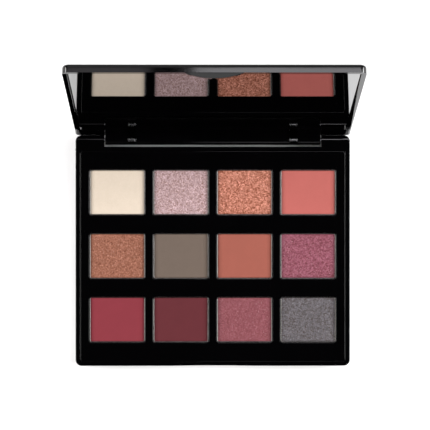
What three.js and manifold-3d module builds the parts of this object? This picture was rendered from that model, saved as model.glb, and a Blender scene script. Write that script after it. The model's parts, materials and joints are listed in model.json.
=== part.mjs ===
// Slim twelve-pan eyeshadow palette, shown open.
//
// Frame, in millimetres: the origin is the middle of the underside of the base, +X runs
// along the hinge, +Y points from the thumb notch at the front to the hinge at the back,
// and +Z is up. The lid is drawn closed, around its hinge axis, and its group then swings
// it open to the angle at which its rear edge rests against the back of the base.

import * as THREE from 'three';
import { mergeVertices } from 'three/addons/utils/BufferGeometryUtils.js';
import Module from 'manifold-3d';

const wasm = await Module();
wasm.setup();

// ---------------------------------------------------------------- driving dimensions

const caseWidth = 112;
const caseDepth = 94.2;
const baseHeight = 8.5;
const lidHeight = 3.5;
const cornerRadius = 2.5;
const baseEdgeRound = 1.2;
const lidEdgeRound = 1.5;
const floorThickness = 1.2;

// A quarter turn of an outline takes twice its step count.
const cornerSteps = 2;
const bowSteps = 5;
const edgeSteps = 3;

// Pocket of the base, and the tray that fills it.
const rimWidth = 2.0;
const rearLand = 6.5;
const trayFit = 0.15;
const trayDrop = 0.2;
const trayPlate = 1.2;
const trayCorner = 1.0;
const trayFoot = 0.3;

// Wells, pans and powder.
const columns = 4;
const rows = 3;
const pitch = 26;
const wellWidth = 22.9;
const wellDepth = 18.9;
const wellCorner = 1.1;
const wellWall = 0.9;
const panWidth = 22.5;
const panDepth = 18.5;
const panHeight = 3.6;
const panWall = 0.3;
const panDrop = 0.5;
const powderDrop = 0.45;
const snug = 0.05;
const glueRadius = 4;
const glueThickness = 0.2;

// Hinge: the axis lies just inside the back of the base, below its top.
const hingeInset = 1.9;
const hingeBelowTop = 2.12;
const partingGap = 0.25;
const openAngle = THREE.MathUtils.degToRad(102.2);
const barrelRadius = 2.0;
const barrelHalf = 43.9;
const noseRadius = 0.6;
const notchSideGap = 0.4;
const notchFrontGap = 0.85;
const windowAt = 33;
const windowWidth = 3.4;
const pinRadius = 0.75;
const boreRadius = 0.84;
const pinInner = 26.5;
const pinRecess = 0.8;
const roundSteps = 24;

// Lid: rim, mirror and the tape behind it.
const lidRearInset = 0.3;
const lidRim = 1.9;
const lidRearBezel = 8.0;
const mirrorRecess = 0.83;
const mirrorThickness = 0.9;
const mirrorFit = 0.15;
const tapeThickness = 0.25;
const layerGap = 0.1;
const tapeInset = 4;

// Thumb notch in the front of the base, and the lip of the lid that shows in it.
const thumbNotchWidth = 35;
const thumbNotchDrop = 2.8;
const thumbNotchReach = 1.4;
const lipWidth = 22;
const lipDrop = 2.2;
const lipThickness = 1.2;

// Derived places.
const top = baseHeight;
const front = -caseDepth / 2;
const rear = caseDepth / 2;
const hingeY = rear - hingeInset;
const hingeZ = top - hingeBelowTop;
const trayFront = front + rimWidth;
const trayRear = rear - rearLand;
const trayWidth = caseWidth - 2 * rimWidth;
const trayDepth = trayRear - trayFront;
const trayY = (trayFront + trayRear) / 2;
const trayTop = top - trayDrop;
const panTop = trayTop - panDrop;
const panBottom = panTop - panHeight;
const wellFloor = panBottom - glueThickness - 2 * snug;
const powderTop = panTop - powderDrop;
const notchY = hingeY - barrelRadius - notchFrontGap;
const notchHalf = barrelHalf + notchSideGap;
const rimPlane = hingeBelowTop + partingGap;
const lidFront = front - hingeY;
const lidRear = hingeInset - lidRearInset;

// ---------------------------------------------------------------- colours

const blackPlastic = { color: 0x0b0b0c, roughness: 0.12, metalness: 0 };
const silverMirror = { color: 0xdfe2e4, roughness: 0.02, metalness: 1 };
const tinplate = { color: 0xb9b8b6, roughness: 0.3, metalness: 1 };
const steel = { color: 0x9a9c9f, roughness: 0.25, metalness: 1 };
const clearGlue = { color: 0xe6e2d4, roughness: 0.4, metalness: 0 };
const whiteTape = { color: 0xe9e9e6, roughness: 0.7, metalness: 0 };

const shades = [
  { name: 'cream', color: 0xefdeca, metalness: 0 },
  { name: 'mauve_frost', color: 0xc1a2a3, metalness: 0.35 },
  { name: 'rose_copper', color: 0xc5806c, metalness: 0.6 },
  { name: 'coral', color: 0xcf736c, metalness: 0 },
  { name: 'bronze', color: 0xa66f5b, metalness: 0.5 },
  { name: 'olive_taupe', color: 0x7e6f66, metalness: 0 },
  { name: 'terracotta', color: 0xb4695b, metalness: 0 },
  { name: 'berry_frost', color: 0x9d5e6b, metalness: 0.4 },
  { name: 'crimson', color: 0x984149, metalness: 0 },
  { name: 'burgundy', color: 0x70373c, metalness: 0 },
  { name: 'dusty_rose', color: 0x9a5c62, metalness: 0.3 },
  { name: 'charcoal_frost', color: 0x726d6f, metalness: 0.4 },
];

// ---------------------------------------------------------------- geometry helpers

function toSolid(geometry) {
  const bare = geometry.clone();
  bare.deleteAttribute('normal');
  bare.deleteAttribute('uv');
  const merged = mergeVertices(bare);
  return new wasm.Manifold(new wasm.Mesh({
    numProp: 3,
    vertProperties: new Float32Array(merged.attributes.position.array),
    triVerts: new Uint32Array(merged.index.array),
  }));
}

function toGeometry(solid) {
  const mesh = solid.getMesh();
  const geometry = new THREE.BufferGeometry();
  geometry.setAttribute('position', new THREE.BufferAttribute(mesh.vertProperties, 3));
  geometry.setIndex(new THREE.BufferAttribute(mesh.triVerts, 1));
  geometry.computeVertexNormals();
  return geometry;
}

function roundedRectangle(width, depth, radius) {
  const x = width / 2;
  const y = depth / 2;
  const quarter = Math.PI / 2;
  const shape = new THREE.Shape();
  shape.moveTo(-x + radius, -y);
  shape.lineTo(x - radius, -y);
  shape.absarc(x - radius, -y + radius, radius, -quarter, 0);
  shape.lineTo(x, y - radius);
  shape.absarc(x - radius, y - radius, radius, 0, quarter);
  shape.lineTo(-x + radius, y);
  shape.absarc(-x + radius, y - radius, radius, quarter, Math.PI);
  shape.lineTo(-x, -y + radius);
  shape.absarc(-x + radius, -y + radius, radius, Math.PI, 3 * quarter);
  return shape;
}

// An upright plate with rounded corners, its underside at z = 0.
function plate(width, depth, height, radius) {
  const options = { depth: height, bevelEnabled: false, curveSegments: cornerSteps };
  return new THREE.ExtrudeGeometry(roundedRectangle(width, depth, radius), options);
}

// The same plate with its top and bottom edges rounded over.
function softPlate(width, depth, height, radius, edge) {
  return new THREE.ExtrudeGeometry(roundedRectangle(width, depth, radius), {
    depth: height - 2 * edge,
    bevelThickness: edge,
    bevelSize: edge,
    bevelOffset: -edge,
    bevelSegments: edgeSteps,
    curveSegments: cornerSteps,
  }).translate(0, 0, edge);
}

function block(x0, x1, y0, y1, z0, z1) {
  const box = new THREE.BoxGeometry(x1 - x0, y1 - y0, z1 - z0);
  return toSolid(box.translate((x0 + x1) / 2, (y0 + y1) / 2, (z0 + z1) / 2));
}

// A round bar along X, from x0 to x1, around the hinge axis of its own group.
function bar(radius, x0, x1, y = 0, z = 0) {
  const cylinder = new THREE.CylinderGeometry(radius, radius, x1 - x0, roundSteps);
  return toSolid(cylinder.rotateZ(Math.PI / 2).translate((x0 + x1) / 2, y, z));
}

// A shallow bow below a straight chord at z = 0, extruded along Y from y0 to y1.
function bow(chord, sagitta, headroom, y0, y1) {
  const half = chord / 2;
  const radius = (half * half + sagitta * sagitta) / (2 * sagitta);
  const sweep = Math.asin(half / radius);
  const shape = new THREE.Shape();
  shape.absarc(0, radius - sagitta, radius, -Math.PI / 2 - sweep, -Math.PI / 2 + sweep);
  shape.lineTo(half, headroom);
  shape.lineTo(-half, headroom);
  const options = { depth: y1 - y0, bevelEnabled: false, curveSegments: bowSteps };
  const geometry = new THREE.ExtrudeGeometry(shape, options);
  return toSolid(geometry.rotateX(Math.PI / 2).translate(0, y1, 0));
}

function addMesh(group, name, geometry, look) {
  const mesh = new THREE.Mesh(geometry, new THREE.MeshStandardMaterial(look));
  mesh.name = name;
  group.add(mesh);
}

// ---------------------------------------------------------------- base

function cellCentre(column, row) {
  const x = (column - (columns - 1) / 2) * pitch;
  const y = trayY + ((rows - 1) / 2 - row) * pitch;
  return [x, y];
}

function buildBaseShell() {
  const past = 1;
  const tall = softPlate(caseWidth, caseDepth, baseHeight + 2 * baseEdgeRound, cornerRadius,
    baseEdgeRound);
  let shell = toSolid(tall);
  shell = shell.subtract(block(-caseWidth, caseWidth, -caseDepth, caseDepth, top, 2 * top));

  const pocket = plate(trayWidth + 2 * trayFit, trayDepth + 2 * trayFit, top, trayCorner);
  shell = shell.subtract(toSolid(pocket.translate(0, trayY, floorThickness)));

  // The lid's barrel lies in this notch, which goes right through.
  shell = shell.subtract(block(-notchHalf, notchHalf, notchY, rear + past, -past, top + past));

  // Behind the axis the two ears are round, so that the lid rolls past them.
  const behind = block(-caseWidth, caseWidth, hingeY, rear + past, hingeZ, top + past);
  const earRound = bar(hingeBelowTop, -caseWidth, caseWidth, hingeY, hingeZ);
  shell = shell.subtract(behind.subtract(earRound));

  const bite = bow(thumbNotchWidth, thumbNotchDrop, past, front - past,
    front + thumbNotchReach);
  shell = shell.subtract(bite.translate([0, 0, top]));

  return shell.subtract(bar(boreRadius, -caseWidth, caseWidth, hingeY, hingeZ));
}

function buildTray() {
  const low = floorThickness + trayFoot;
  const outer = plate(trayWidth, trayDepth, trayTop - low, trayCorner);
  let tray = toSolid(outer.translate(0, trayY, low));

  // The underside is open between the outer wall, the plate and the wells.
  const inside = plate(trayWidth - 2 * trayPlate, trayDepth - 2 * trayPlate,
    trayTop - trayPlate, trayCorner / 2);
  let hollow = toSolid(inside.translate(0, trayY, 0));
  const wells = [];
  for (let row = 0; row < rows; row += 1) {
    for (let column = 0; column < columns; column += 1) {
      const [x, y] = cellCentre(column, row);
      const cup = plate(wellWidth + 2 * wellWall, wellDepth + 2 * wellWall, top,
        wellCorner + wellWall);
      hollow = hollow.subtract(toSolid(cup.translate(x, y, wellFloor - wellWall)));
      const well = plate(wellWidth, wellDepth, top, wellCorner);
      wells.push(toSolid(well.translate(x, y, wellFloor)));
    }
  }
  tray = tray.subtract(hollow);
  for (const well of wells) {
    tray = tray.subtract(well);
  }
  return tray;
}

function buildPan() {
  const corner = wellCorner - (wellWidth - panWidth) / 2;
  const outside = toSolid(plate(panWidth, panDepth, panHeight, corner));
  const inside = plate(panWidth - 2 * panWall, panDepth - 2 * panWall, panHeight,
    corner - panWall);
  return toGeometry(outside.subtract(toSolid(inside.translate(0, 0, panWall))));
}

function buildPowder() {
  const inset = panWall + snug;
  const corner = wellCorner - (wellWidth - panWidth) / 2 - inset;
  const height = powderTop - panBottom - inset;
  return plate(panWidth - 2 * inset, panDepth - 2 * inset, height, corner);
}

function buildGlueDot() {
  const disc = new THREE.CylinderGeometry(glueRadius, glueRadius, glueThickness, roundSteps);
  return disc.rotateX(Math.PI / 2);
}

function buildBase() {
  const base = new THREE.Group();
  addMesh(base, 'base_shell', toGeometry(buildBaseShell()), blackPlastic);
  addMesh(base, 'pan_tray', toGeometry(buildTray()), blackPlastic);
  shades.forEach((shade, index) => {
    const [x, y] = cellCentre(index % columns, Math.floor(index / columns));
    const look = { color: shade.color, roughness: 0.85 - shade.metalness / 2,
      metalness: shade.metalness };
    const pan = buildPan().translate(x, y, panBottom);
    const powder = buildPowder().translate(x, y, panBottom + panWall + snug);
    const glue = buildGlueDot().translate(x, y, panBottom - snug - glueThickness / 2);
    addMesh(base, `pan_${shade.name}`, pan, tinplate);
    addMesh(base, `powder_${shade.name}`, powder, look);
    addMesh(base, `glue_${shade.name}`, glue, clearGlue);
  });
  for (const [name, side] of [['left', -1], ['right', 1]]) {
    const outer = caseWidth / 2 - pinRecess;
    const middle = side * (pinInner + outer) / 2;
    const pin = new THREE.CylinderGeometry(pinRadius, pinRadius, outer - pinInner, roundSteps);
    addMesh(base, `hinge_pin_${name}`, pin.rotateZ(Math.PI / 2).translate(middle, hingeY, hingeZ),
      steel);
  }
  return base;
}

// ---------------------------------------------------------------- lid, around its axis

function buildLidShell() {
  const past = 1;
  const depth = lidRear - lidFront;
  const middle = (lidRear + lidFront) / 2;
  const tall = softPlate(caseWidth, depth, lidHeight + 2 * lidEdgeRound, cornerRadius,
    lidEdgeRound);
  let shell = toSolid(tall.translate(0, middle, rimPlane - 2 * lidEdgeRound));
  shell = shell.subtract(block(-caseWidth, caseWidth, -2 * caseDepth, caseDepth,
    rimPlane - 2 * lidHeight, rimPlane));

  // The hinge barrel hangs from the rear bezel by a web as wide as itself. It is square on the
  // side that faces the notch, but for a rounded nose, and round behind.
  const nose = noseRadius - barrelRadius;
  const web = block(-barrelHalf, barrelHalf, -barrelRadius, lidRear, 0, rimPlane + past);
  const cheek = block(-barrelHalf, barrelHalf, -barrelRadius, 0, nose, past);
  const sole = block(-barrelHalf, barrelHalf, nose, 0, -barrelRadius, past);
  shell = shell.add(web).add(cheek).add(sole)
    .add(bar(noseRadius, -barrelHalf, barrelHalf, nose, nose))
    .add(bar(barrelRadius, -barrelHalf, barrelHalf));

  const seat = mirrorSeat();
  const recess = plate(seat.width, seat.depth, seat.reach, trayCorner);
  shell = shell.subtract(toSolid(recess.translate(0, seat.y, rimPlane)));

  // Two windows cross the rear bezel and the barrel, and lay each pin bare for a short way.
  for (const side of [-1, 1]) {
    const x0 = side * windowAt - windowWidth / 2;
    const x1 = side * windowAt + windowWidth / 2;
    shell = shell.subtract(block(x0, x1, -lidRearBezel - past, 0, -2 * barrelRadius,
      rimPlane + mirrorRecess));
  }

  const lip = bow(lipWidth, lipDrop, past / 2, lidFront, lidFront + lipThickness);
  shell = shell.add(lip.translate([0, 0, rimPlane]));
  return shell.subtract(bar(boreRadius, pinInner - past / 2, caseWidth))
    .subtract(bar(boreRadius, -caseWidth, past / 2 - pinInner));
}

function mirrorSeat() {
  const near = -lidRearBezel;
  const far = lidFront + lidRim;
  const reach = mirrorRecess + mirrorThickness + tapeThickness + 2 * layerGap;
  return { width: caseWidth - 2 * lidRim, depth: near - far, y: (near + far) / 2, reach };
}

function buildLid() {
  const lid = new THREE.Group();
  const seat = mirrorSeat();
  addMesh(lid, 'lid_shell', toGeometry(buildLidShell()), blackPlastic);
  const glass = plate(seat.width - 2 * mirrorFit, seat.depth - 2 * mirrorFit,
    mirrorThickness, trayCorner - mirrorFit);
  addMesh(lid, 'mirror', glass.translate(0, seat.y, rimPlane + mirrorRecess), silverMirror);
  const tape = plate(seat.width - 2 * tapeInset, seat.depth - 2 * tapeInset, tapeThickness,
    trayCorner);
  const tapeZ = rimPlane + mirrorRecess + mirrorThickness + layerGap;
  addMesh(lid, 'mirror_tape', tape.translate(0, seat.y, tapeZ), whiteTape);
  lid.position.set(0, hingeY, hingeZ);
  lid.rotation.x = -openAngle;
  return lid;
}

const palette = new THREE.Group();
palette.add(buildBase(), buildLid());

export default palette;
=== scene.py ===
"""Eyeshadow palette, open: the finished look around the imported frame.

Every size comes from the frame where the frame holds it. The lid is built closed and then
turned about the hinge to where the frame has it, so both halves share one set of helpers.
"""

import json
import math
import random

import bmesh
import bpy
from mathutils import Euler, Matrix, Vector, noise


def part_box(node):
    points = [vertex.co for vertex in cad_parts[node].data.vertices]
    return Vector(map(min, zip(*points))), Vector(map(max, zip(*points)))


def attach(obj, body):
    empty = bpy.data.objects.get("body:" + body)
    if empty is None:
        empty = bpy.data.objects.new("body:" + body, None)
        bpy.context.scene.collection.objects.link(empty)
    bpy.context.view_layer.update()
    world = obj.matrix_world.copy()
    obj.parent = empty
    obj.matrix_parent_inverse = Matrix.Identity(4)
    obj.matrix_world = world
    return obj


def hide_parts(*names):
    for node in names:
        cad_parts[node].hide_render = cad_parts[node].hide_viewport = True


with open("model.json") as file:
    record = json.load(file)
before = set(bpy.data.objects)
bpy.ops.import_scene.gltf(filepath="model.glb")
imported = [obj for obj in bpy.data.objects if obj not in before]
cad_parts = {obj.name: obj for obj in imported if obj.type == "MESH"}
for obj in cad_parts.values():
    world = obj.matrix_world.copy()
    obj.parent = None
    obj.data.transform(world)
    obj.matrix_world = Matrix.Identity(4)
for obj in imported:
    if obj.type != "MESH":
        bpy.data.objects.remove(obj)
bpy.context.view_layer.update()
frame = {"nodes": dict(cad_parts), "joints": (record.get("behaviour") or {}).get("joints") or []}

MM = 0.001

# Roundings and fits that the frame leaves plain, in metres.
CORNER = 2.5 * MM
BASE_EDGE = 1.2 * MM
LID_EDGE = 1.5 * MM
TRAY_CORNER = 1.0 * MM
WELL_CORNER = 1.1 * MM
WELL_FIT = 0.2 * MM
TRAY_FIT = 0.15 * MM
TRAY_WALL = 1.2 * MM
WELL_WALL = 0.9 * MM
FLOOR = 1.2 * MM
PAN_WALL = 0.3 * MM
SNUG = 0.05 * MM
MOULD_EDGE = 0.14 * MM
RIM_EDGE = 0.18 * MM
WELL_EDGE = 0.12 * MM
SHARPEST = 0.02 * MM
CORNER_STEPS = 10
EDGE_STEPS = 6

# Hinge and lid, in metres.
BARREL = 2.0 * MM
BARREL_HALF = 43.9 * MM
NOTCH_SIDE_GAP = 0.4 * MM
NOTCH_FRONT_GAP = 0.85 * MM
NOSE = 0.6 * MM
EAR_ROUND = 2.12 * MM
WINDOW_AT = 33.0 * MM
WINDOW_HALF = 1.7 * MM
BORE = 0.84 * MM
PIN_INNER = 26.0 * MM
LID_HEIGHT = 3.5 * MM
MIRROR_RECESS = 0.83 * MM
MIRROR_FIT = 0.15 * MM
LAYER_GAP = 0.1 * MM
THUMB_NOTCH = (35.0 * MM, 2.8 * MM, 1.4 * MM)
LIP = (22.0 * MM, 2.2 * MM, 1.2 * MM)
LIP_DRAFT = math.tan(math.radians(6.5))
RIM_CROWN = 0.20 * MM
BASE_BEHIND_AXIS = 1.9 * MM
LID_BEHIND_AXIS = 1.6 * MM

# How far a cutting tool overshoots the face that it cuts through.
PAST = 1 * MM

HINGE = next(j for j in frame["joints"] if j["name"] == "lid_hinge")
AXIS_POINT = Vector(HINGE["pos_m"])
OPEN_ANGLE = math.radians(-HINGE["range_deg"][0])
OPEN = (Matrix.Translation(AXIS_POINT) @ Matrix.Rotation(-OPEN_ANGLE, 4, "X"))

# Look of each powder: the colour of its pigment (sRGB), and its grain. The colours also hold
# painted light: the cream's is set lighter than the other shades to make up for the shade at the
# back left of the tray, where the open lid keeps light off.
MATTE, SATIN, SHIMMER, GLITTER = "matte", "satin", "shimmer", "glitter"
SHADES = {
    # Painted light: set lighter to even out the shade that the open lid throws on the back left.
    "cream": ((236, 220, 201), MATTE),
    "mauve_frost": ((197, 167, 169), SHIMMER),
    "rose_copper": ((207, 134, 111), GLITTER),
    "coral": ((199, 109, 102), MATTE),
    "bronze": ((165, 109, 88), SHIMMER),
    "olive_taupe": ((117, 103, 93), MATTE),
    "terracotta": ((169, 97, 83), MATTE),
    "berry_frost": ((154, 89, 105), SHIMMER),
    "crimson": ((142, 56, 66), MATTE),
    "burgundy": ((103, 45, 51), MATTE),
    "dusty_rose": ((147, 84, 92), SATIN),
    "charcoal_frost": ((110, 106, 110), SHIMMER),
}


# ------------------------------------------------------------------ mesh helpers

def outline(width, depth, radius):
    """A rounded rectangle round the origin, anticlockwise, as (x, y) points."""
    points = []
    for turn, (side_x, side_y) in enumerate(((1, -1), (1, 1), (-1, 1), (-1, -1))):
        centre_x = side_x * (width / 2 - radius)
        centre_y = side_y * (depth / 2 - radius)
        for step in range(CORNER_STEPS + 1):
            angle = math.radians(90 * (turn - 1 + step / CORNER_STEPS))
            points.append((centre_x + radius * math.cos(angle),
                           centre_y + radius * math.sin(angle)))
    return points


def centre_of(low, high):
    return (low + high) / 2


def new_object(name, bm):
    """Turns a bmesh into an object in the scene, with its normals outward."""
    mesh = bpy.data.meshes.new(name)
    bmesh.ops.recalc_face_normals(bm, faces=bm.faces)
    bm.to_mesh(mesh)
    bm.free()
    made = bpy.data.objects.new(name, mesh)
    bpy.context.scene.collection.objects.link(made)
    return made


def loft(name, rings, closed=False):
    """A skin through rings of equally many points, with a cap on each end unless closed."""
    bm = bmesh.new()
    made = [[bm.verts.new(point) for point in ring] for ring in rings]
    pairs = list(zip(made, made[1:]))
    if closed:
        pairs.append((made[-1], made[0]))
    for low, high in pairs:
        for k in range(len(low)):
            after = (k + 1) % len(low)
            bm.faces.new((low[k], low[after], high[after], high[k]))
    if not closed:
        bm.faces.new(reversed(made[0]))
        bm.faces.new(made[-1])
    return new_object(name, bm)


def ring(width, depth, radius, inset, z, centre=(0, 0)):
    """A rounded rectangle at height z, drawn in from its stated size by inset."""
    around = outline(width - 2 * inset, depth - 2 * inset, max(radius - inset, SHARPEST))
    return [(centre[0] + x, centre[1] + y, z) for x, y in around]


def quarter_round(radius, steps=EDGE_STEPS):
    """(inset, rise) pairs that turn a wall into a face through a quarter circle."""
    angles = [math.pi / 2 * k / steps for k in range(steps + 1)]
    return [(radius * (1 - math.cos(a)), radius * math.sin(a)) for a in angles]


def mouth_cutter(size, radius, z_low, z_mouth, edge, centre=(0, 0)):
    """A plate to cut with, which flares out at z_mouth and so leaves a rounded mouth."""
    width, depth = size
    rings = [ring(width, depth, radius, 0, z_low, centre)]
    for inset, rise in quarter_round(edge):
        rings.append(ring(width, depth, radius, -inset, z_mouth - edge + rise, centre))
    rings.append(ring(width, depth, radius, -edge, z_mouth + PAST, centre))
    return loft("cutter", rings)


def slab(name, size, radius, z_low, z_high, low_edge=0.0, high_edge=0.0, centre=(0, 0)):
    """An upright plate with rounded corners and, where asked, rounded edges."""
    width, depth = size
    rings = []
    if low_edge:
        for inset, rise in reversed(quarter_round(low_edge)):
            rings.append(ring(width, depth, radius, inset, z_low + low_edge - rise, centre))
    else:
        rings.append(ring(width, depth, radius, 0, z_low, centre))
    if high_edge:
        for inset, rise in quarter_round(high_edge):
            rings.append(ring(width, depth, radius, inset, z_high - high_edge + rise, centre))
    else:
        rings.append(ring(width, depth, radius, 0, z_high, centre))
    return loft(name, rings)


def block(low, high):
    """An upright box between two corners."""
    bm = bmesh.new()
    bmesh.ops.create_cube(bm, size=1)
    size = Vector(high) - Vector(low)
    centre = (Vector(high) + Vector(low)) / 2
    bmesh.ops.transform(bm, matrix=Matrix.Translation(centre) @ Matrix.Diagonal((*size, 1)),
                        verts=bm.verts)
    return new_object("block", bm)


def hoop(radius, x, y, z, steps):
    """Points round an axis along X."""
    angles = [2 * math.pi * k / steps for k in range(steps)]
    return [(x, y + radius * math.cos(a), z + radius * math.sin(a)) for a in angles]


def bar(radius, x_low, x_high, y=0.0, z=0.0, steps=48):
    """A round bar along X."""
    return loft("bar", [hoop(radius, x, y, z, steps) for x in (x_low, x_high)])


def bow(chord, sagitta, headroom, y_low, y_high, z, steps=24):
    """A shallow bow that hangs below a straight chord at height z, drawn out along Y."""
    half = chord / 2
    radius = (half * half + sagitta * sagitta) / (2 * sagitta)
    sweep = math.asin(half / radius)
    profile = [(half, z + headroom), (-half, z + headroom)]
    for step in range(steps + 1):
        angle = -math.pi / 2 - sweep + 2 * sweep * step / steps
        profile.append((radius * math.cos(angle), z + radius - sagitta + radius * math.sin(angle)))
    return loft("bow", [[(x, y, height) for x, height in profile] for y in (y_low, y_high)])


def bake_modifiers(made):
    """Applies the modifiers of an object to its mesh."""
    graph = bpy.context.evaluated_depsgraph_get()
    mesh = bpy.data.meshes.new_from_object(made.evaluated_get(graph))
    made.modifiers.clear()
    made.data = mesh


def combine(made, tool, operation="DIFFERENCE"):
    """Cuts or joins one closed object with another, which is used up."""
    modifier = made.modifiers.new("combine", "BOOLEAN")
    modifier.operation = operation
    modifier.object = tool
    modifier.solver = "EXACT"
    bake_modifiers(made)
    bpy.data.objects.remove(tool)


def melt_slivers(made):
    """Clears the slivers that cutting and joining leave along shared edges."""
    bm = bmesh.new()
    bm.from_mesh(made.data)
    bmesh.ops.remove_doubles(bm, verts=bm.verts, dist=0.002 * MM)
    bmesh.ops.dissolve_degenerate(bm, edges=bm.edges, dist=0.001 * MM)
    bmesh.ops.dissolve_limit(bm, angle_limit=math.radians(0.5), verts=bm.verts, edges=bm.edges)
    bm.to_mesh(made.data)
    bm.free()


def soften(made):
    """Rounds every sharp edge a little, as a mould does, and shades the curves smooth."""
    bevel = made.modifiers.new("bevel", "BEVEL")
    bevel.width = MOULD_EDGE
    bevel.segments = 3
    bevel.limit_method = "ANGLE"
    bevel.angle_limit = math.radians(35)
    bevel.use_clamp_overlap = True
    bevel.miter_outer = "MITER_ARC"
    bake_modifiers(made)
    smooth(made)


def smooth(made, angle=40):
    """Smooth shading that keeps creases sharper than angle, and keeps large faces flat."""
    made.data.shade_smooth()
    made.data.set_sharp_from_angle(angle=math.radians(angle))
    weigh = made.modifiers.new("weigh", "WEIGHTED_NORMAL")
    weigh.keep_sharp = True
    weigh.weight = 80
    bake_modifiers(made)


def finish_piece(made, name, body, material, nodes=()):
    """Names a piece, paints it, hangs it on the body that it rides on, and hides the nodes that it
    stands for.
    """
    made.name = name
    made.data.name = name
    made.data.materials.clear()
    made.data.materials.append(material)
    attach(made, body)
    if nodes:
        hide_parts(*nodes)
    return made


# ------------------------------------------------------------------ materials

def to_linear(colour):
    """An sRGB colour of 0 to 255 as the linear shares that a shader takes."""
    shares = [channel / 255 for channel in colour]
    return [s / 12.92 if s <= 0.04045 else ((s + 0.055) / 1.055) ** 2.4 for s in shares]


# Sockets of a colour mix node, which has others of the same names for its other types.
MIX_FACTOR, MIX_FIRST, MIX_SECOND, MIX_RESULT = 0, 6, 7, 2


def tinted(colour, factor):
    return [min(channel * factor, 1.0) for channel in colour]


class Paint:
    """A Principled material whose colour, roughness and bump come from nodes."""

    def __init__(self, name):
        self.material = bpy.data.materials.new(name)
        self.material.use_nodes = True
        self.nodes = self.material.node_tree.nodes
        self.links = self.material.node_tree.links
        self.shader = self.nodes["Principled BSDF"]
        self.place = self.nodes.new("ShaderNodeTexCoord").outputs["Object"]

    def set(self, **values):
        for key, value in values.items():
            socket = key.replace("_", " ").title().replace("Ior", "IOR")
            self.shader.inputs[socket].default_value = value

    def noise(self, scale, detail=2.0, roughness=0.5):
        made = self.nodes.new("ShaderNodeTexNoise")
        made.inputs["Scale"].default_value = scale
        made.inputs["Detail"].default_value = detail
        made.inputs["Roughness"].default_value = roughness
        self.links.new(self.place, made.inputs["Vector"])
        return made.outputs["Fac"]

    def grains(self, size):
        made = self.nodes.new("ShaderNodeTexVoronoi")
        made.inputs["Scale"].default_value = 1 / size
        self.links.new(self.place, made.inputs["Vector"])
        return made

    def remap(self, value, low, high, from_low=0.0, from_high=1.0):
        """Spreads the stretch of a value between from_low and from_high from low to high."""
        made = self.nodes.new("ShaderNodeMapRange")
        for name, number in (("From Min", from_low), ("From Max", from_high),
                             ("To Min", low), ("To Max", high)):
            made.inputs[name].default_value = number
        self.links.new(value, made.inputs["Value"])
        return made.outputs["Result"]

    def blend(self, factor, first, second):
        """Mixes two plain colours."""
        made = self.nodes.new("ShaderNodeMix")
        made.data_type = "RGBA"
        made.inputs[MIX_FIRST].default_value = (*first, 1)
        made.inputs[MIX_SECOND].default_value = (*second, 1)
        self.links.new(factor, made.inputs[MIX_FACTOR])
        return made.outputs[MIX_RESULT]

    def shift(self, factor, first, second):
        """Mixes the colour of a socket towards a plain colour."""
        made = self.nodes.new("ShaderNodeMix")
        made.data_type = "RGBA"
        self.links.new(first, made.inputs[MIX_FIRST])
        made.inputs[MIX_SECOND].default_value = (*tinted(second, 1), 1)
        self.links.new(factor, made.inputs[MIX_FACTOR])
        return made.outputs[MIX_RESULT]

    def times(self, first, second):
        made = self.nodes.new("ShaderNodeMath")
        made.operation = "MULTIPLY"
        self.links.new(first, made.inputs[0])
        self.links.new(second, made.inputs[1])
        return made.outputs[0]

    def bump(self, height, distance, strength=1.0, under=None):
        made = self.nodes.new("ShaderNodeBump")
        made.inputs["Distance"].default_value = distance
        made.inputs["Strength"].default_value = strength
        self.links.new(height, made.inputs["Height"])
        if under is not None:
            self.links.new(under, made.inputs["Normal"])
        return made.outputs["Normal"]

    def use(self, output, socket):
        self.links.new(output, self.shader.inputs[socket])


def black_plastic():
    """Polished black moulding, with faint flow waves, handling haze and fine dust marks."""
    paint = Paint("black_plastic")
    paint.set(specular_ior_level=0.5)
    haze = paint.noise(60, 4, 0.6)
    fine = paint.noise(2600, 3, 0.6)
    paint.use(paint.blend(haze, (0.0002, 0.0002, 0.0003), (0.0006, 0.0005, 0.0007)), "Base Color")
    paint.use(paint.remap(paint.times(haze, fine), 0.02, 0.16), "Roughness")
    flow = paint.bump(paint.noise(90, 1, 0.4), 0.010 * MM, 0.6)
    paint.use(paint.bump(fine, 0.0012 * MM, 0.5, flow), "Normal")
    return paint.material


def mirror_silver():
    """Silvered cosmetic mirror with a faint wipe haze."""
    paint = Paint("mirror_silver")
    paint.set(metallic=1.0, specular_tint=(0.86, 0.86, 0.86, 1))
    haze = paint.noise(45, 3, 0.5)
    paint.use(paint.blend(haze, (0.46, 0.46, 0.46), (0.49, 0.49, 0.49)), "Base Color")
    paint.use(paint.remap(haze, 0.004, 0.022), "Roughness")
    return paint.material


def worn_metal(name, colour, rough_low, rough_high):
    """Rolled sheet or drawn wire: bright metal with fine rubbing and dull spots."""
    paint = Paint(name)
    paint.set(metallic=1.0)
    dull = paint.noise(700, 4, 0.6)
    rub = paint.noise(5000, 2, 0.5)
    paint.use(paint.blend(dull, tinted(colour, 0.82), tinted(colour, 1.08)), "Base Color")
    paint.use(paint.remap(rub, rough_low, rough_high), "Roughness")
    paint.use(paint.bump(rub, 0.002 * MM, 0.6), "Normal")
    return paint.material


def soft_adhesive(name, colour, rough_low, rough_high):
    """Lumpy glue or foam, with slight changes of tone."""
    paint = Paint(name)
    lumps = paint.noise(900, 3, 0.6)
    paint.use(paint.blend(lumps, tinted(colour, 0.92), tinted(colour, 1.04)), "Base Color")
    paint.use(paint.remap(lumps, rough_low, rough_high), "Roughness")
    paint.use(paint.bump(lumps, 0.02 * MM, 0.6), "Normal")
    return paint.material


# Albedo that a powder needs so that the lit cake comes out at its stated colour.
POWDER_LIGHT = 0.56

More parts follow.
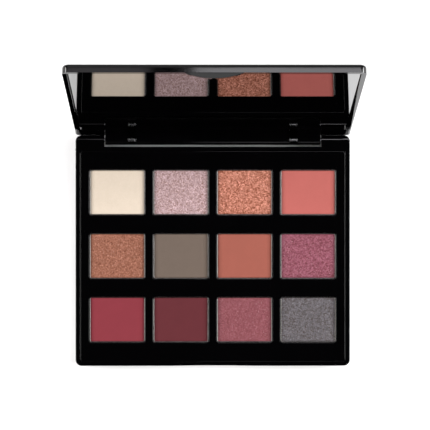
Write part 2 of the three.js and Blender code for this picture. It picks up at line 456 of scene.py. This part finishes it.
# Grain of each kind of powder: how much darker and lighter its grains get, how white the light
# ones are, its metallic share, its roughness, and the size and relief of a grain in metres.
GRAIN = {
    MATTE: {"dark": 0.96, "light": 1.03, "white": 0.0, "metallic": 0.0, "rough": (0.80, 0.92),
            "size": 0.16 * MM, "relief": 0.008 * MM},
    SATIN: {"dark": 0.76, "light": 1.26, "white": 0.10, "metallic": 0.20, "rough": (0.48, 0.62),
            "size": 0.32 * MM, "relief": 0.030 * MM},
    SHIMMER: {"dark": 0.54, "light": 1.56, "white": 0.20, "metallic": 0.35, "rough": (0.42, 0.56),
              "size": 0.30 * MM, "relief": 0.045 * MM},
    GLITTER: {"dark": 0.46, "light": 1.68, "white": 0.32, "metallic": 0.45,
              "rough": (0.34, 0.50), "size": 0.42 * MM, "relief": 0.070 * MM},
}


def pressed_powder(name, colour, kind):
    """A pressed cake: slow blotches of tone, and grains of which some are dark, some light."""
    paint = Paint(name)
    grain = GRAIN[kind]
    base = tinted(to_linear(colour), POWDER_LIGHT)
    blotch = paint.noise(220, 3, 0.55)
    body = paint.blend(paint.remap(blotch, 0, 1, 0.3, 0.7), tinted(base, 0.96), tinted(base, 1.04))
    cells = paint.grains(grain["size"])
    split = paint.nodes.new("ShaderNodeSeparateColor")
    paint.links.new(cells.outputs["Color"], split.inputs["Color"])
    darkness = paint.remap(split.outputs["Red"], 1, 0, 0.0, 0.45)
    lightness = paint.remap(split.outputs["Red"], 0, 1, 0.62, 1.0)
    dark = [channel * grain["dark"] ** (1 + 0.5 * k) for k, channel in enumerate(base)]
    grey = sum(base) / len(base)
    light = [channel * grain["light"] + grey * grain["white"] for channel in base]
    grained = paint.shift(darkness, body, dark)
    paint.use(paint.shift(lightness, grained, light), "Base Color")
    paint.use(paint.remap(split.outputs["Green"], *grain["rough"]), "Roughness")
    paint.set(metallic=grain["metallic"], specular_ior_level=0.12)
    fine = paint.bump(paint.noise(9000, 3, 0.6), 0.006 * MM, 0.8)
    paint.use(paint.bump(split.outputs["Blue"], grain["relief"], 0.8, fine), "Normal")
    return paint.material


def mica_flake(name, colour):
    """Loose glints of mica: a lighter, more metallic tint of the cake that they lie in."""
    paint = Paint(name)
    base = to_linear(colour)
    bright = [0.55 * channel + 0.45 for channel in base]
    paint.set(metallic=0.9)
    tone = paint.grains(0.5 * MM).outputs["Distance"]
    paint.use(paint.blend(paint.remap(tone, 0, 1, 0, 0.8), bright, tinted(base, 1.3)), "Base Color")
    paint.use(paint.remap(paint.noise(3000), 0.22, 0.42), "Roughness")
    return paint.material


# ------------------------------------------------------------------ base half

# Cake: waves and grain of its face per metre, the spacing of the rings that carry them, the
# parts that each straight side of a ring is split into, its broken edge and its waviness.
CAKE_WAVES = 260
CAKE_GRAIN = 1500
CAKE_STEP = 0.3 * MM
CAKE_PARTS = 48
CAKE_EDGE = 0.18 * MM
CAKE_EDGE_STEPS = 4
WAVINESS = {MATTE: 0.012 * MM, SATIN: 0.022 * MM, SHIMMER: 0.022 * MM, GLITTER: 0.022 * MM}

# Mica flakes in each glittering cake; the tilt is a spread in radians.
FLAKE_COUNT = 600
FLAKE_SIZE = 0.24 * MM
FLAKE_THICKNESS = 0.05 * MM
FLAKE_DEPTH = 0.06 * MM
FLAKE_MARGIN = 0.7 * MM
FLAKE_TILT = 0.22


def build_base_shell(material):
    """The lower half: tray pocket, hinge notch between two rounded ears, and thumb notch."""
    low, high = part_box("base_shell")
    tray_low, tray_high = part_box("pan_tray")
    half_width = high.x
    rear = AXIS_POINT.y + BASE_BEHIND_AXIS
    front = low.y
    top = high.z
    middle_y = (front + rear) / 2
    shell = slab("shell", (2 * half_width, rear - front), CORNER, 0, top, BASE_EDGE, RIM_EDGE,
                 (0, middle_y))

    tray_size = tray_high - tray_low
    tray_y = centre_of(tray_low, tray_high).y
    pocket = (tray_size.x + 2 * TRAY_FIT, tray_size.y + 2 * TRAY_FIT)
    combine(shell, mouth_cutter(pocket, TRAY_CORNER, FLOOR, top, RIM_EDGE / 3, (0, tray_y)))

    notch_y = AXIS_POINT.y - BARREL - NOTCH_FRONT_GAP
    notch_half = BARREL_HALF + NOTCH_SIDE_GAP
    combine(shell, block((-notch_half, notch_y, -PAST), (notch_half, rear + PAST, top + PAST)))

    behind = block((-half_width - PAST, AXIS_POINT.y, AXIS_POINT.z),
                   (half_width + PAST, rear + PAST, top + PAST))
    combine(behind, bar(EAR_ROUND, -half_width - 2 * PAST, half_width + 2 * PAST,
                        AXIS_POINT.y, AXIS_POINT.z, 96))
    combine(shell, behind)

    chord, drop, reach = THUMB_NOTCH
    combine(shell, bow(chord, drop, PAST, front - PAST, front + reach, top))

    combine(shell, bar(BORE, -half_width - PAST, half_width + PAST, AXIS_POINT.y,
                       AXIS_POINT.z, 32))
    soften(shell)
    return finish_piece(shell, "base_case", "base", material, ["base_shell"])


def well_of(name):
    """The middle, the mouth and the floor height of the well round a pan."""
    low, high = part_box("pan_" + name)
    glue_low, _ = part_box("glue_" + name)
    centre = centre_of(low, high)
    mouth = (high.x - low.x + 2 * WELL_FIT, high.y - low.y + 2 * WELL_FIT)
    return (centre.x, centre.y), mouth, glue_low.z - SNUG


def build_tray(material):
    """The moulding that holds the pans: a plate with a cup for each, hollow underneath."""
    low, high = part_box("pan_tray")
    size = high - low
    centre = centre_of(low, high)
    tray = slab("tray", (size.x, size.y), TRAY_CORNER, low.z, high.z, 0, RIM_EDGE,
                (centre.x, centre.y))
    hollow = slab("hollow", (size.x - 2 * TRAY_WALL, size.y - 2 * TRAY_WALL), TRAY_CORNER / 2,
                  low.z - PAST, high.z - TRAY_WALL, 0, 0, (centre.x, centre.y))
    for name in SHADES:
        at, mouth, floor = well_of(name)
        cup = (mouth[0] + 2 * WELL_WALL, mouth[1] + 2 * WELL_WALL)
        combine(hollow, slab("cup", cup, WELL_CORNER + WELL_WALL, floor - WELL_WALL,
                             high.z, 0, 0, at))
    combine(tray, hollow)
    for name in SHADES:
        at, mouth, floor = well_of(name)
        combine(tray, mouth_cutter(mouth, WELL_CORNER, floor, high.z, WELL_EDGE, at))
    smooth(tray, 30)
    return finish_piece(tray, "well_tray", "base", material, ["pan_tray"])


def build_pan(name, material):
    """A drawn tinplate pan: soft bottom edge, thin wall and a trimmed rim, round inside."""
    low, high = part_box("pan_" + name)
    size = high - low
    centre = centre_of(low, high)
    corner = WELL_CORNER - WELL_FIT
    bottom_edge = 0.5 * MM
    rim_edge = 0.6 * PAN_WALL
    profile = []
    for inset, rise in reversed(quarter_round(bottom_edge)):
        profile.append((inset, low.z + bottom_edge - rise))
    profile.append((0, high.z))
    for inset, rise in reversed(quarter_round(rim_edge)):
        profile.append((PAN_WALL - inset, high.z - rim_edge + rise))
    inner_edge = bottom_edge - PAN_WALL / 2
    for inset, rise in quarter_round(inner_edge):
        profile.append((PAN_WALL + inset, low.z + PAN_WALL + inner_edge - rise))
    rings = [ring(size.x, size.y, corner, inset, z, (centre.x, centre.y)) for inset, z in profile]
    pan = loft("pan", rings)
    smooth(pan, 50)
    return finish_piece(pan, "tin_" + name, "base", material, ["pan_" + name])


def cake_height(x, y, seed, waviness):
    """How far a pressed cake's face stands off its plane: slow waves and fine grain."""
    slow = noise.noise(Vector((x, y, seed)) * CAKE_WAVES)
    quick = noise.noise(Vector((x, y, seed + 7)) * CAKE_GRAIN)
    return waviness * (slow + 0.5 * quick)


def densify(rings):
    """Splits the long straight stretches of every ring, so that its face can carry relief."""
    count = len(rings[0])
    dense = []
    for points in rings:
        fuller = []
        for k, point in enumerate(points):
            fuller.append(point)
            if k % (CORNER_STEPS + 1) == CORNER_STEPS:
                after = Vector(points[(k + 1) % count])
                start = Vector(point)
                for part in range(1, CAKE_PARTS):
                    fuller.append(tuple(start.lerp(after, part / CAKE_PARTS)))
        dense.append(fuller)
    return dense


def build_cake(name, index, material, kind):
    """A pressed cake: straight sides, a softly broken edge and a nearly flat, grainy face."""
    low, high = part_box("powder_" + name)
    size = high - low
    centre = centre_of(low, high)
    corner = WELL_CORNER - WELL_FIT - PAN_WALL - SNUG
    waviness = WAVINESS[kind]
    face = high.z - 2.2 * waviness
    rings = [ring(size.x, size.y, corner, 0, low.z, (centre.x, centre.y))]
    for inset, rise in quarter_round(CAKE_EDGE, CAKE_EDGE_STEPS):
        rings.append(ring(size.x, size.y, corner, inset, face - CAKE_EDGE + rise,
                          (centre.x, centre.y)))
    inset = CAKE_EDGE + CAKE_STEP
    while inset < size.y / 2 - CAKE_STEP:
        rings.append(ring(size.x, size.y, corner, inset, face, (centre.x, centre.y)))
        inset += CAKE_STEP
    flat_from = CAKE_EDGE_STEPS + 1
    for k in range(flat_from, len(rings)):
        rings[k] = [(x, y, z + cake_height(x, y, index, waviness)) for x, y, z in rings[k]]
    cake = loft("cake", densify(rings))
    smooth(cake, 60)
    return finish_piece(cake, "cake_" + name, "base", material,
                        ["powder_" + name])


def build_flakes(name, index, material):
    """Thin mica plates, half sunk in the face of a cake and tilted every way."""
    low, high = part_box("powder_" + name)
    rng = random.Random(index)
    bm = bmesh.new()
    for _ in range(FLAKE_COUNT):
        at = Vector((rng.uniform(low.x + FLAKE_MARGIN, high.x - FLAKE_MARGIN),
                     rng.uniform(low.y + FLAKE_MARGIN, high.y - FLAKE_MARGIN),
                     high.z - FLAKE_DEPTH))
        radius = FLAKE_SIZE * rng.uniform(0.35, 1.0) / 2
        tilt = Euler((rng.gauss(0, FLAKE_TILT), rng.gauss(0, FLAKE_TILT), rng.uniform(0, math.pi)))
        place = Matrix.Translation(at) @ tilt.to_matrix().to_4x4()
        bmesh.ops.create_cone(bm, cap_ends=True, segments=rng.choice((5, 6)), radius1=radius,
                              radius2=radius * 0.8, depth=FLAKE_THICKNESS, matrix=place)
    flakes = new_object("flakes", bm)
    return finish_piece(flakes, "flakes_" + name, "base", material)


def build_glue(name, material):
    """A dab of hot-melt, squeezed flat under its pan."""
    low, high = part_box("glue_" + name)
    centre = centre_of(low, high)
    radius = (high.x - low.x) / 2
    steps = 40
    rings = []
    for share, z in ((0.90, low.z), (1.0, low.z + 0.07 * MM), (1.0, high.z - 0.07 * MM),
                     (0.92, high.z)):
        points = []
        for k in range(steps):
            angle = 2 * math.pi * k / steps
            ragged = 1 - 0.06 * abs(noise.noise(Vector((centre.x, centre.y, 3 * angle)) * 9))
            reach = radius * share * ragged
            points.append((centre.x + reach * math.cos(angle),
                           centre.y + reach * math.sin(angle), z))
        rings.append(points)
    dab = loft("dab", rings)
    smooth(dab, 60)
    return finish_piece(dab, "dab_" + name, "base", material, ["glue_" + name])


def build_pin(side, material):
    """A steel pin with chamfered ends."""
    node = "hinge_pin_" + side
    low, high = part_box(node)
    centre = centre_of(low, high)
    radius = (high.z - low.z) / 2
    chamfer = 0.2 * MM
    profile = ((low.x, radius - chamfer), (low.x + chamfer, radius),
               (high.x - chamfer, radius), (high.x, radius - chamfer))
    pin = loft("pin", [hoop(reach, x, centre.y, centre.z, 32) for x, reach in profile])
    smooth(pin, 35)
    return finish_piece(pin, "pin_" + side, "base", material, [node])


# ------------------------------------------------------------------ lid half

def closed_box(node):
    """A lid node's box in the lid's own frame: closed, with the hinge axis at the origin."""
    back = OPEN.inverted()
    points = [back @ vertex.co for vertex in frame["nodes"][node].data.vertices]
    low = Vector([min(point[k] for point in points) for k in range(3)])
    high = Vector([max(point[k] for point in points) for k in range(3)])
    return low, high


def open_up(made):
    """Swings a piece that was built closed to where the lid stands at rest."""
    made.data.transform(OPEN)
    return made


def build_lid_shell(material):
    """The upper half: cover, mirror seat, thumb lip, and the barrel that takes the pins."""
    low, high = closed_box("lid_shell")
    glass_low, glass_high = closed_box("mirror")
    _, tape_high = closed_box("mirror_tape")
    half_width = high.x
    rear = LID_BEHIND_AXIS
    rim = glass_low.z - MIRROR_RECESS
    lid = slab("lid", (2 * half_width, rear - low.y), CORNER, rim, rim + LID_HEIGHT, 0,
               LID_EDGE, (0, (rear + low.y) / 2))
    nose = NOSE - BARREL
    web = block((-BARREL_HALF, -BARREL, 0), (BARREL_HALF, rear, rim + PAST))
    for part in (block((-BARREL_HALF, -BARREL, nose), (BARREL_HALF, 0, PAST)),
                 block((-BARREL_HALF, nose, -BARREL), (BARREL_HALF, 0, PAST)),
                 bar(NOSE, -BARREL_HALF, BARREL_HALF, nose, nose),
                 bar(BARREL, -BARREL_HALF, BARREL_HALF)):
        combine(web, part, "UNION")
    combine(lid, web, "UNION")

    glass = glass_high - glass_low
    seat = (glass.x + 2 * MIRROR_FIT, glass.y + 2 * MIRROR_FIT)
    seat_y = centre_of(glass_low, glass_high).y
    combine(lid, slab("seat", seat, TRAY_CORNER, rim - LAYER_GAP, tape_high.z + LAYER_GAP, 0, 0,
                      (0, seat_y)))
    for side in (-1, 1):
        x_low, x_high = side * WINDOW_AT - WINDOW_HALF, side * WINDOW_AT + WINDOW_HALF
        combine(lid, block((x_low, glass_high.y - PAST, -2 * BARREL),
                           (x_high, 0, rim + MIRROR_RECESS)))
    chord, drop, thickness = LIP
    lip = bow(chord, drop, SHARPEST, low.y, low.y + thickness, rim)
    for vertex in lip.data.vertices:
        if vertex.co.y < low.y + thickness / 2:
            vertex.co.y += (vertex.co.z - rim + drop) * LIP_DRAFT
    combine(lid, lip, "UNION")
    for side in (-1, 1):
        outer, inner = side * half_width, side * (seat[0] / 2 - LAYER_GAP)
        section = [(outer, rim), (inner, rim + RIM_CROWN), (inner, rim - PAST), (outer, rim - PAST)]
        ends = (seat_y - seat[1] / 2, seat_y + seat[1] / 2)
        combine(lid, loft("wedge", [[(x, y, z) for x, z in section] for y in ends]))
    for side in (-1, 1):
        inner, outer = side * PIN_INNER, side * (BARREL_HALF + PAST)
        combine(lid, bar(BORE, min(inner, outer), max(inner, outer), steps=32))
    melt_slivers(lid)
    soften(lid)
    open_up(lid)
    return finish_piece(lid, "lid_cover", "lid", material, ["lid_shell"])


def build_mirror(material):
    """A sheet of mirror glass with its sharp edges taken off."""
    low, high = closed_box("mirror")
    size = high - low
    centre = centre_of(low, high)
    arris = 0.12 * MM
    glass = slab("glass", (size.x, size.y), TRAY_CORNER - MIRROR_FIT, low.z, high.z, arris,
                 arris, (centre.x, centre.y))
    smooth(glass, 30)
    open_up(glass)
    return finish_piece(glass, "mirror_glass", "lid", material, ["mirror"])


def build_tape(material):
    """The foam tape between the mirror and the lid."""
    low, high = closed_box("mirror_tape")
    size = high - low
    centre = centre_of(low, high)
    tape = slab("tape", (size.x, size.y), TRAY_CORNER, low.z, high.z, 0.06 * MM, 0.06 * MM,
                (centre.x, centre.y))
    smooth(tape, 50)
    open_up(tape)
    return finish_piece(tape, "tape_sheet", "lid", material, ["mirror_tape"])


# ------------------------------------------------------------------ stage

def build_floor():
    """A plain pale sweep of paper, wide enough for every view."""
    bm = bmesh.new()
    bmesh.ops.create_grid(bm, x_segments=2, y_segments=2, size=3)
    floor = new_object("floor", bm)
    paint = Paint("pale_floor")
    paint.use(paint.blend(paint.noise(3), (0.94, 0.94, 0.94), (0.96, 0.96, 0.96)), "Base Color")
    paint.set(roughness=0.9, specular_ior_level=0.1)
    floor.data.materials.append(paint.material)


def aimed(place, facing):
    """The matrix of a lamp or camera at place that looks along facing, with +Y up its view."""
    back = -Vector(facing).normalized()
    right = Vector((0, 1, 0)).cross(back).normalized()
    turn = Matrix((right, back.cross(right), back)).transposed().to_4x4()
    return Matrix.Translation(place) @ turn


def softbox(name, place, facing, size, radiance, colour=(1, 1, 1)):
    """A rectangular soft light. Its radiance is in multiples of a fully lit white surface."""
    light = bpy.data.lights.new(name, "AREA")
    light.shape = "RECTANGLE"
    light.size, light.size_y = size
    light.energy = radiance * math.pi * size[0] * size[1]
    light.color = colour
    made = bpy.data.objects.new(name, light)
    made.matrix_world = aimed(place, facing)
    bpy.context.scene.collection.objects.link(made)


def build_lights():
    """A strong box at the right, a broad one at the left and three panels over the rear.

    The sky straight above and in front stays dark, so that flat black faces look black.
    """
    world = bpy.data.worlds.new("studio")
    world.use_nodes = True
    sky = world.node_tree.nodes["Background"]
    sky.inputs["Color"].default_value = (1, 1, 1, 1)
    sky.inputs["Strength"].default_value = 0.008
    bpy.context.scene.world = world
    down = (0, 0, -1)
    softbox("key_right", (1.75, 0.25, 1.12), (-1.75, -0.25, -1.12), (1.0, 1.4), 18.0)
    softbox("fill_left", (-1.90, -0.20, 1.25), (1.90, 0.20, -1.25), (1.0, 2.8), 10.5,
            (1.0, 0.99, 0.98))
    softbox("top_right", (0.33, 0.40, 1.05), down, (0.68, 0.46), 4.4, (0.98, 0.96, 1.0))
    softbox("top_left", (-0.37, 0.40, 1.05), down, (0.64, 0.46), 0.9, (1.0, 0.95, 1.0))
    softbox("rear", (0.0, 0.90, 1.05), down, (1.40, 0.44), 1.4)


def build_camera():
    """Looks nearly straight down from 0.85 m, as a copy stand holds a camera."""
    place = Vector((-6.0, 17.8, 857.5)) * MM
    aim = Vector((0.9, 14.5, 8.5)) * MM
    camera = bpy.data.cameras.new("camera")
    camera.lens = 174.1
    camera.sensor_width = 36
    made = bpy.data.objects.new("camera", camera)
    made.matrix_world = aimed(place, aim - place)
    bpy.context.scene.collection.objects.link(made)
    bpy.context.scene.camera = made


def build_palette():
    """Every piece of the palette, each with its material."""
    plastic = black_plastic()
    tin = worn_metal("tinplate", (0.19, 0.18, 0.172), 0.20, 0.34)
    steel = worn_metal("drawn_steel", (0.55, 0.56, 0.57), 0.18, 0.34)
    glue = soft_adhesive("hot_melt", (0.80, 0.76, 0.64), 0.30, 0.55)
    tape = soft_adhesive("foam_tape", (0.80, 0.80, 0.78), 0.70, 0.90)
    build_base_shell(plastic)
    build_tray(plastic)
    for index, (name, (colour, kind)) in enumerate(SHADES.items()):
        build_pan(name, tin)
        build_glue(name, glue)
        build_cake(name, index, pressed_powder("powder_" + name, colour, kind), kind)
        if kind != MATTE:
            build_flakes(name, index, mica_flake("mica_" + name, colour))
    for side in ("left", "right"):
        build_pin(side, steel)
    build_lid_shell(plastic)
    build_mirror(mirror_silver())
    build_tape(tape)


bpy.context.scene.view_settings.view_transform = "Standard"
build_palette()
build_floor()
build_lights()
build_camera()
